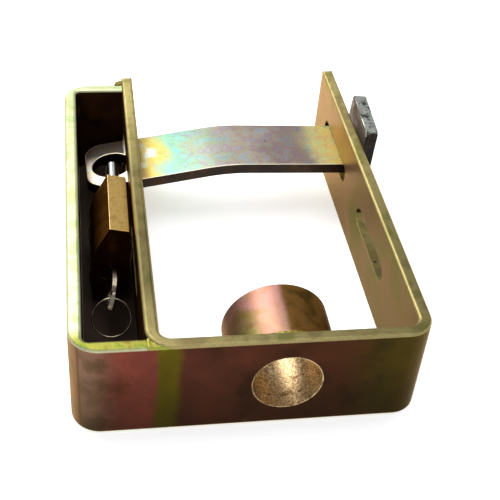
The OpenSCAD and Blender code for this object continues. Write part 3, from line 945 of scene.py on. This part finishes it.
# %% Yoke: bends
for x in (INNER_ARM_X, OUTER_ARM_X + STRIP):
    round_edges(yoke, lambda e: upright(e, mm(x, 0).x, corner.y), OUTER_BEND * MM, 14)
for x in (INNER_ARM_X + STRIP, OUTER_ARM_X):
    round_edges(yoke, lambda e: upright(e, mm(x, 0).x, mm(0, STRIP).y), INNER_BEND * MM, 8)
roll_edges(yoke, ROLLED_EDGE * MM)
for end in (INNER_ARM_END, outer_arm_end):
    round_edges(yoke, lambda e: all(abs(v.co.y - mm(0, end).y) < 1e-5 for v in e.verts),
        TIP_EDGE * MM, 5)
print("yoke faces after bending:", len(yoke.data.polygons))

# %% Yoke: slots and the blank's hole
SLOT_LENGTH, SLOT_HEIGHT = 52, 10
FRONT_SLOT_Y, REAR_SLOT_Y = 87, 168
BLANK_END = 36


def slot_cutter(x, y, z):
    """A block with round ends that pierces one arm."""
    half_l, half_h = SLOT_LENGTH / 2, SLOT_HEIGHT / 2
    block = start_box("slot_cutter", mm(x - 2, y - half_l, z - half_h),
        mm(x + STRIP + 2, y + half_l, z + half_h))
    across = lambda e: abs(e.verts[0].co.x - e.verts[1].co.x) > STRIP * MM
    round_edges(block, across, 0.999 * half_h * MM, 12)
    return block


for x, z in ((INNER_ARM_X, 24), (OUTER_ARM_X, 27)):
    for y in (FRONT_SLOT_Y, REAR_SLOT_Y):
        carve(yoke, slot_cutter(x, y, z))
carve(yoke, start_rod("hole_cutter", mm(BLANK_X, STRIP / 2, strip_top / 2), BORE_RADIUS * MM,
    2.5 * STRIP * MM, (0, 1, 0), 96))
break_edges(yoke, PIERCED_EDGE * MM, 3)
hand_over(yoke, ["yoke"], "frame", zinc_yoke)

# %% [markdown]
# ## The padlock guard
#
# A second strip, bent the same way, closes off a channel beside the inner arm. Its front return
# butts against the yoke's bend and is welded and ground flush; its rear return meets the arm.

# %% Padlock guard
GUARD_LENGTH, GUARD_END_X = 202, 31.5
GUARD_BEND, GUARD_INSIDE = 13, 3
guard = start_box("guard_strip", mm(0, 0), mm(STRIP, GUARD_LENGTH, strip_top))
for y in (STRIP, GUARD_LENGTH - STRIP):
    slice_through(guard, mm(0, y), (0, 1, 0))
for middle_y, end_x in ((STRIP / 2, GUARD_END_X), (GUARD_LENGTH - STRIP / 2, INNER_ARM_X)):
    pick(guard, "faces", lambda f: f.normal.x > 0.9
         and abs(f.calc_center_median().y - mm(0, middle_y).y) < 1e-4)
    pull(end_x - STRIP, 0, 0)
    leave_edit()
merge_flats(guard)
for y in (0, GUARD_LENGTH):
    round_edges(guard, lambda e: upright(e, corner.x, mm(0, y).y), GUARD_BEND * MM, 14)
for y in (STRIP, GUARD_LENGTH - STRIP):
    round_edges(guard, lambda e: upright(e, mm(STRIP, 0).x, mm(0, y).y), GUARD_INSIDE * MM, 6)
roll_edges(guard, ROLLED_EDGE * MM, skip=lambda p: p.x > mm(INNER_ARM_X - 0.1, 0).x)
settle(guard)
hand_over(guard, ["padlock_guard"], "frame", zinc_guard)

# %% [markdown]
# ## Welds and the ball blank
#
# A weld bead isn't a smooth fillet: it is a row of overlapping puddles. Each bead here is a rod
# or a block in the groove that it fills. It is cut into short lengths and drawn in between the
# puddles by a sine wave whose pitch wanders a little, so it reads as laid by hand.


# %% Bead ripples
def ripple(piece, axis, pitch, depth, keep=lambda point: False):
    """Draws a bead in between its puddles; points that pass keep stay where they are."""
    mesh = bmesh.new()
    mesh.from_mesh(piece.data)
    bmesh.ops.recalc_face_normals(mesh, faces=mesh.faces)
    for vertex in mesh.verts:
        if keep(vertex.co):
            continue
        run = vertex.co[axis] / (pitch * MM)
        wave = 0.5 + 0.5 * math.sin(2 * math.pi * run + 0.7 * math.sin(1.7 * run))
        vertex.co -= vertex.normal * (depth * MM * wave)
    mesh.to_mesh(piece.data)
    mesh.free()
    piece.data.update()


def split_along(piece, axis, count):
    """Cuts a piece into even lengths along an axis."""
    low = min(v.co[axis] for v in piece.data.vertices)
    high = max(v.co[axis] for v in piece.data.vertices)
    normal = Vector((0, 0, 0))
    normal[axis] = 1
    for i in range(1, count):
        slice_through(piece, normal * (low + (high - low) * i / count), normal)


# %% Front seam weld, ground flush at the face and left rough on top
seam = start_box("front_seam", mm(GUARD_END_X, 0), mm(INNER_ARM_X + OUTER_BEND, STRIP, strip_top))
round_edges(seam, lambda e: all(abs(v.co.y - corner.y) < 1e-5 for v in e.verts)
    and abs(e.verts[0].co.z - e.verts[1].co.z) < 1e-6, ROLLED_EDGE * MM, 5)
carve(seam, start_rod("seam_cutter", mm(INNER_ARM_X + OUTER_BEND, OUTER_BEND, strip_top / 2),
    OUTER_BEND * MM, 2 * STRIP_WIDTH, (0, 0, 1), 128))
merge_flats(seam)
split_along(seam, 0, 12)
ripple(seam, 0, 2.6, 0.35, keep=lambda p: p.z < STRIP_WIDTH - 1e-4 or p.z < 1e-4)
settle(seam)
hand_over(seam, ["front_seam_weld"], "frame", zinc_bead)

# %% Rear seam weld
REAR_BEAD_RADIUS = 4
rear_bead = start_rod("rear_bead", mm(INNER_ARM_X, GUARD_LENGTH, strip_top / 2),
    REAR_BEAD_RADIUS * MM, STRIP_WIDTH, (0, 0, 1), 32)
slice_through(rear_bead, mm(INNER_ARM_X, 0), (1, 0, 0), drop_outer=True)
slice_through(rear_bead, mm(0, GUARD_LENGTH), (0, -1, 0), drop_outer=True)
split_along(rear_bead, 2, 60)
arm_face, guard_face = mm(INNER_ARM_X, 0).x, mm(0, GUARD_LENGTH).y
ripple(rear_bead, 2, 2.8, 0.6, keep=lambda p: p.x > arm_face - 1e-4 or p.y < guard_face + 1e-4)
smooth_under(rear_bead, 50)
hand_over(rear_bead, ["rear_seam_weld"], "frame", zinc_bead)

# %% [markdown]
# The blank is a length of thick tube. A circle is pulled towards the base and then drawn in a
# little, which leaves the bevel that the weld fills; its two ends are closed, and a boolean cut
# bores it, as a drill would. Bevel then rounds the rims as a lathe tool does.

# %% Ball blank and its foot weld
BLANK_BEVEL = 1.2
select_nothing()
bpy.ops.mesh.primitive_circle_add(vertices=128, radius=BLANK_RADIUS * MM,
    location=mm(BLANK_X, BLANK_END, strip_top / 2), rotation=(math.radians(90), 0, 0))
blank = name_fresh("blank_tube")
pick(blank, "edges", lambda e: True)
pull(0, STRIP + BLANK_BEVEL - BLANK_END, 0)
pull(0, -BLANK_BEVEL, 0)
bpy.ops.transform.resize(value=((BLANK_RADIUS - BLANK_BEVEL) / BLANK_RADIUS, 1,
    (BLANK_RADIUS - BLANK_BEVEL) / BLANK_RADIUS),
    center_override=mm(BLANK_X, STRIP, strip_top / 2))
bpy.ops.mesh.select_all(action="SELECT")
bpy.ops.mesh.normals_make_consistent(inside=False)
leave_edit()
bore_cutter = start_rod("bore_cutter", mm(BLANK_X, BLANK_END / 2, strip_top / 2),
    BORE_RADIUS * MM, 2 * BLANK_END * MM, (0, 1, 0), 128)
pick(blank, "edges", lambda e: len(e.link_faces) == 1)
bpy.ops.mesh.edge_face_add()
leave_edit()
carve(blank, bore_cutter)
break_edges(blank, 0.6 * MM, 4)
hand_over(blank, ["ball_blank"], "frame", zinc_tube)

foot = start_rod("foot_bead", mm(BLANK_X, STRIP + BLANK_BEVEL / 2, strip_top / 2),
    BLANK_RADIUS * MM, BLANK_BEVEL * MM, (0, 1, 0), 180)
foot_middle = mm(BLANK_X, 0, strip_top / 2)
carve(foot, start_rod("foot_cutter", mm(BLANK_X, STRIP, strip_top / 2),
    (BLANK_RADIUS - BLANK_BEVEL) * MM, 4 * BLANK_BEVEL * MM, (0, 1, 0), 180))
for vertex in foot.data.vertices:
    around = math.atan2(vertex.co.z - foot_middle.z, vertex.co.x - foot_middle.x)
    swell = 1 - 0.012 * (0.5 + 0.5 * math.sin(58 * around + math.sin(5 * around)))
    vertex.co.x = foot_middle.x + (vertex.co.x - foot_middle.x) * swell
    vertex.co.z = foot_middle.z + (vertex.co.z - foot_middle.z) * swell
smooth_under(foot, 50)
hand_over(foot, ["blank_weld"], "frame", zinc_bead)

# %% [markdown]
# ## The cross bar
#
# The bar is 38 x 6 flat. It rises from its tab at 8.8 degrees, bends over a wide radius and falls
# at 2.9 degrees to its head. The end face of a short block is pulled along that line step by
# step, so the section stays upright the whole way, as it does on the real bar, where the
# shear cut the ends square to the table. The tab's corners are then rounded and its hole drilled.

# %% Cross bar: the bent strip
TAB_END, PEAK_X, PEAK_Z = 10.5, 84.4, 34.7
INNER_SLOPE, OUTER_SLOPE, BEND_RADIUS = math.radians(8.8), math.radians(2.9), 110
BAR_THICK, BAR_WIDE, BAR_REACH = 6, 38, 158.6
TAB_HOLE = Vector((24.1, 17.2))
TAB_HOLE_RADIUS, TAB_CORNER = 10.25, 10
PIVOT = mm(OUTER_ARM_X, 148)
slide_axis = Vector(next(j for j in frame["joints"] if j["name"] == "bar_slide")["axis"])
bar_frame = Matrix.Translation(PIVOT) @ Matrix.Rotation(
    math.atan2(slide_axis.y, slide_axis.x), 4, "Z") @ Matrix.Translation(
    Vector((-OUTER_ARM_X * MM, 0, 0)))


def bar_line():
    """The bar's top line as points in millimetres: tab end, the bend, head end."""
    half = BEND_RADIUS * math.tan((INNER_SLOPE + OUTER_SLOPE) / 2)
    centre = Vector((PEAK_X - half * math.cos(INNER_SLOPE) + BEND_RADIUS * math.sin(INNER_SLOPE),
        PEAK_Z - half * math.sin(INNER_SLOPE) - BEND_RADIUS * math.cos(INNER_SLOPE)))
    points = [Vector((TAB_END, PEAK_Z - (PEAK_X - TAB_END) * math.tan(INNER_SLOPE)))]
    steps = 12
    for i in range(steps + 1):
        angle = INNER_SLOPE - (INNER_SLOPE + OUTER_SLOPE) * i / steps
        points.append(centre + BEND_RADIUS * Vector((-math.sin(angle), math.cos(angle))))
    points.append(Vector((BAR_REACH, PEAK_Z - (BAR_REACH - PEAK_X) * math.tan(OUTER_SLOPE))))
    return points


line = bar_line()
bar = start_box("crossbar", (0, 0, 0), (BAR_THICK * MM, BAR_WIDE * MM, BAR_THICK * MM))
for vertex in bar.data.vertices:
    at_end = vertex.co.x > 1e-6
    top = line[1] if at_end else line[0]
    vertex.co.x = top.x * MM
    vertex.co.z = (top.y - (0 if vertex.co.z > 1e-6 else BAR_THICK)) * MM
for here, there in zip(line[1:-1], line[2:]):
    pick(bar, "faces", lambda f: f.normal.x > 0.9
         and abs(f.calc_center_median().x - here.x * MM) < 1e-5)
    step = there - here
    pull(step.x, 0, step.y)
    leave_edit()
bar_corners = round_edges(bar, lambda e: abs(e.verts[0].co.x - TAB_END * MM) < 1e-5
    and abs(e.verts[1].co.x - TAB_END * MM) < 1e-5
    and abs(e.verts[0].co.z - e.verts[1].co.z) > 1e-3, TAB_CORNER * MM, 12)
print("bar points:", len(line), "rounded corners:", bar_corners)

# %% Cross bar: hole, square end and place
HEAD_X, HEAD_Z = 155.6, 33.5
HEAD_MIDDLE = mm(HEAD_X, 164, HEAD_Z)
head_frame = Matrix.Translation(HEAD_MIDDLE) @ Matrix.Rotation(math.radians(-3), 4, "Z") \
    @ Matrix.Rotation(math.radians(3), 4, "Y")
carve(bar, rod_mm("tab_hole_cutter", (TAB_HOLE.x, TAB_HOLE.y, 20), TAB_HOLE_RADIUS, strip_top,
    (0, 0, 1), 96))
turned(bar, bar_frame)
slice_through(bar, HEAD_MIDDLE, head_frame.to_3x3() @ Vector((1, 0, 0)), drop_outer=True)
break_edges(bar, 0.55 * MM, 3, 30)
hand_over(bar, ["cross_bar"], "bar", zinc_bar)

# %% [markdown]
# The head is a block of thicker plate, cut with a torch and plated silver. Its corners are
# broken, the long inner edge widest of all, where the burr was ground away. Torch-cut edges are
# never flat, so the block is then divided finely and pushed in a little by a cloud texture.

# %% Head of the cross bar
HEAD_THICK, HEAD_LONG, HEAD_HIGH = 7, 40, 42
head = block_mm("head_block", (0, -HEAD_LONG / 2, -HEAD_HIGH / 2),
    (HEAD_THICK, HEAD_LONG / 2, HEAD_HIGH / 2))
round_edges(head, lambda e: abs(e.verts[0].co.x - e.verts[1].co.x) > 1e-3, 4 * MM, 6)
round_edges(head, lambda e: all(v.co.x < 1e-5 and v.co.z > (HEAD_HIGH / 2 - 0.01) * MM
    for v in e.verts), 3.2 * MM, 1)
break_edges(head, 0.7 * MM, 3, 30)
pick(head, "faces", lambda f: True)
bpy.ops.mesh.quads_convert_to_tris()
bpy.ops.mesh.subdivide(number_cuts=4)
leave_edit()
cut_noise = bpy.data.textures.new("torch_cut", "CLOUDS")
cut_noise.noise_scale = 2.2 * MM
cut_noise.noise_depth = 3
apply_modifier(head, "DISPLACE", texture=cut_noise, texture_coords="LOCAL", strength=0.5 * MM,
    mid_level=1.0)
turned(head, head_frame)
smooth_under(head, 40)
hand_over(head, ["bar_head"], "bar", zinc_head)

# %% Beads between the bar and its head
head_beads = []
bar_top = PEAK_Z - (HEAD_X - PEAK_X) * math.tan(OUTER_SLOPE) - HEAD_Z
for z in (bar_top, bar_top - BAR_THICK):
    head_beads.append(rod_mm("head_bead", (0, 2, z), 1.2, 30, (0, 1, 0), 16))
    split_along(head_beads[-1], 1, 40)
    ripple(head_beads[-1], 1, 2.2, 0.25)
head_bead = turned(join_pair(*head_beads, "head_beads"), head_frame)
smooth_under(head_bead, 60)
hand_over(head_bead, ["head_weld"], "bar", zinc_head)

# %% [markdown]
# ## The padlock
#
# The padlock is drawn in its own frame: y runs from the key face towards the shackle, z across
# the two legs and x through its thickness. The joints in the frame give that frame's directions,
# so nothing has to be measured again. The brass body starts as a block as thick as its narrow
# faces. Three cuts are made along it, and the cut lines are spread, which gives the swelling
# broad faces. Then it is drilled for the plug and the legs.

# %% Padlock frame and body
joints = {joint["name"]: joint for joint in frame["joints"]}
along = Vector(joints["plug_turn"]["axis"]).normalized()
toe = -Vector(joints["latch_slide"]["axis"]).normalized()
thick = along.cross(toe)
PLUG_Z, PLUG_BORE = -2, 6.55
case_origin = Vector(joints["plug_turn"]["pos_m"]) - toe * PLUG_Z * MM
case_frame = Matrix.Translation(case_origin) @ Matrix(
    (thick, along, toe)).transposed().to_4x4()
CASE_WIDE, CASE_LONG, CASE_EDGE, CASE_THICK, SHOULDER = 44, 43, 9.2, 18, 8
LEG_RADIUS, LEG_BORE, LEG_Z, CROWN_Y = 3.15, 3.22, 14, 61.5
HEEL_BORE_DEPTH, TOE_BORE_DEPTH = 38, 12
case = block_mm("padlock_case", (-CASE_EDGE / 2, 0, -CASE_WIDE / 2),
    (CASE_EDGE / 2, CASE_LONG, CASE_WIDE / 2))
CASE_SECTION = ((-SHOULDER, CASE_THICK - 0.8), (0, CASE_THICK), (SHOULDER, CASE_THICK - 0.8))
for z, wide in CASE_SECTION:
    slice_through(case, (0, 0, z * MM), (0, 0, 1))
for z, wide in CASE_SECTION:
    pick(case, "verts", lambda v: abs(v.co.z - z * MM) < 1e-5)
    bpy.ops.transform.resize(value=(wide / CASE_EDGE, 1, 1), center_override=(0, 0, 0))
    leave_edit()
carve(case, rod_mm("plug_cutter", (0, 6, PLUG_Z), PLUG_BORE, 16, (0, 1, 0), 64))
for z, depth in ((-LEG_Z, HEEL_BORE_DEPTH), (LEG_Z, TOE_BORE_DEPTH)):
    carve(case, rod_mm("leg_cutter", (0, CASE_LONG, z), LEG_BORE, 2 * depth, (0, 1, 0), 48))
break_edges(case, 0.6 * MM, 3, 32)
turned(case, case_frame)
hand_over(case, ["padlock_body"], "padlock", brass_case)

# %% [markdown]
# The shackle is a filled circle pulled straight, spun half a turn, and pulled straight again. Its
# long leg narrows to a groove that a pin holds, and its short leg has a notch for the latch;
# both can be seen when the padlock opens.

# %% Shackle
TOE_END, HEEL_END = 31.5, 14
GROOVE_TOP, GROOVE_FOOT, GROOVE_RADIUS = 31.5, 17, 2
select_nothing()
bpy.ops.mesh.primitive_circle_add(vertices=40, radius=LEG_RADIUS * MM, fill_type="NGON",
    location=Vector((0, TOE_END, LEG_Z)) * MM, rotation=(math.radians(-90), 0, 0))
shackle = name_fresh("shackle_rod")
pick(shackle, "faces", lambda f: True)
pull(0, CROWN_Y - TOE_END, 0)
bpy.ops.mesh.spin(steps=36, angle=math.pi, center=(0, CROWN_Y * MM, 0), axis=(-1, 0, 0))
heel_middle = Vector((0, 0, -LEG_Z)) * MM
narrow = GROOVE_RADIUS / LEG_RADIUS
for length, scale in ((CROWN_Y - GROOVE_TOP, narrow), (GROOVE_TOP - GROOVE_FOOT, 1 / narrow),
                      (GROOVE_FOOT - HEEL_END, None)):
    pull(0, -length, 0)
    if scale:
        pull(0, 0, 0)
        bpy.ops.transform.resize(value=(scale, 1, scale), center_override=heel_middle)
bpy.ops.mesh.select_all(action="SELECT")
bpy.ops.mesh.remove_doubles(threshold=1e-6)
bpy.ops.mesh.normals_make_consistent(inside=False)
leave_edit()
print("shackle reaches", [round(v / MM, 1) for v in shackle.dimensions])
carve(shackle, block_mm("notch_cutter", (-4, 33.5, LEG_Z - LEG_RADIUS - 1),
    (4, 39.4, LEG_Z - LEG_RADIUS + 1.15)))
break_edges(shackle, 0.3 * MM, 2, 50)
turned(shackle, case_frame)
hand_over(shackle, ["shackle"], "shackle", chrome)

# %% [markdown]
# ## The key and its ring
#
# The key is a round bow with a pressed panel on both sides, joined to a thin blade whose top edge
# is cut to match the four pins. The split ring is two turns of round wire lying side by side.

# %% Key
BLADE_HALF, BOW_Y, BOW_RADIUS, KEY_HOLE_Y, KEY_HOLE_RADIUS = 0.95, -14.5, 10, -20.5, 3.2
BLADE_TOP, BLADE_FOOT, BLADE_TIP = PLUG_Z + 2.2, PLUG_Z - 4.6, 20.6
PIN_PLACES, PIN_CUTS, CUT_HALF = (4.5, 9, 13.5, 18), (0.9, 1.6, 0.5, 1.2), 1.3
key = rod_mm("key_blank", (0, BOW_Y, PLUG_Z), BOW_RADIUS, 2 * BLADE_HALF, (1, 0, 0), 72)
pick(key, "faces", lambda f: abs(f.normal.x) > 0.9)
bpy.ops.mesh.inset(thickness=1.3 * MM, use_individual=True)
bpy.ops.mesh.inset(thickness=0.25 * MM, depth=-0.22 * MM, use_individual=True)
leave_edit()
blade = block_mm("blade", (-BLADE_HALF, -6, BLADE_FOOT), (BLADE_HALF, BLADE_TIP, BLADE_TOP))
round_edges(blade, lambda e: abs(e.verts[0].co.x - e.verts[1].co.x) > 1e-3
    and e.verts[0].co.y > (BLADE_TIP - 1) * MM, 1.4 * MM, 3)
for y, cut in zip(PIN_PLACES, PIN_CUTS):
    carve(blade, block_mm("bitting", (-2, y - CUT_HALF, BLADE_TOP - cut),
        (2, y + CUT_HALF, BLADE_TOP + 1)))
for side in (-1, 1):
    carve(blade, block_mm("side_groove", (side * BLADE_HALF - 0.35, -4, PLUG_Z - 2.4),
        (side * BLADE_HALF + 0.35, BLADE_TIP + 1, PLUG_Z - 1.3)))
carve(key, blade, "UNION")
carve(key, rod_mm("key_hole_cutter", (0, KEY_HOLE_Y, PLUG_Z), KEY_HOLE_RADIUS, 6, (1, 0, 0), 48))
break_edges(key, 0.16 * MM, 2, 40)
turned(key, case_frame)
hand_over(key, ["key"], "plug", nickel)

# %% Split ring
RING_RADIUS, WIRE_RADIUS, RING_TILT = 8.9, 0.5, math.radians(49.5)
ring_frame = case_frame @ Matrix.Translation(Vector((0, KEY_HOLE_Y, PLUG_Z)) * MM) \
    @ Matrix.Rotation(-math.acos(min(1, toe.z)), 4, "Y") @ Matrix.Rotation(RING_TILT, 4, "X") \
    @ Matrix.Translation(Vector((0, -RING_RADIUS, 0)) * MM)
coils = []
for side in (-1, 1):
    select_nothing()
    bpy.ops.mesh.primitive_torus_add(major_radius=RING_RADIUS * MM, minor_radius=WIRE_RADIUS * MM,
        major_segments=96, minor_segments=14, location=(0, 0, side * 0.44 * MM))
    coils.append(name_fresh("coil"))
key_ring = turned(join_pair(*coils, "key_ring"), ring_frame)
smooth_under(key_ring, 60)
hand_over(key_ring, ["split_ring"], "ring", nickel)

# %% [markdown]
# ## The parts inside
#
# The plug, pins, springs and latch are already exact in the frame, and little of them shows: the
# plug's face with its keyway, the chamber plugs in the narrow face, and the rest only when the
# padlock is taken apart. They keep their frame shapes and get turned brass or bright steel.

# %% Materials for the frame's own nodes
INSIDE = {brass_case: ("plug", "chamber_plugs"),
    brass_plain: ("driver_pins", "key_pins", "latch"),
    steel_plain: ("pin_springs", "shackle_spring", "latch_spring", "heel_pin", "plug_pin",
        "plug_cam")}
for material, names in INSIDE.items():
    for name in names:
        node = frame["nodes"][name]
        node.data.materials.clear()
        node.data.materials.append(material)
print("frame nodes kept:", sum(len(names) for names in INSIDE.values()))
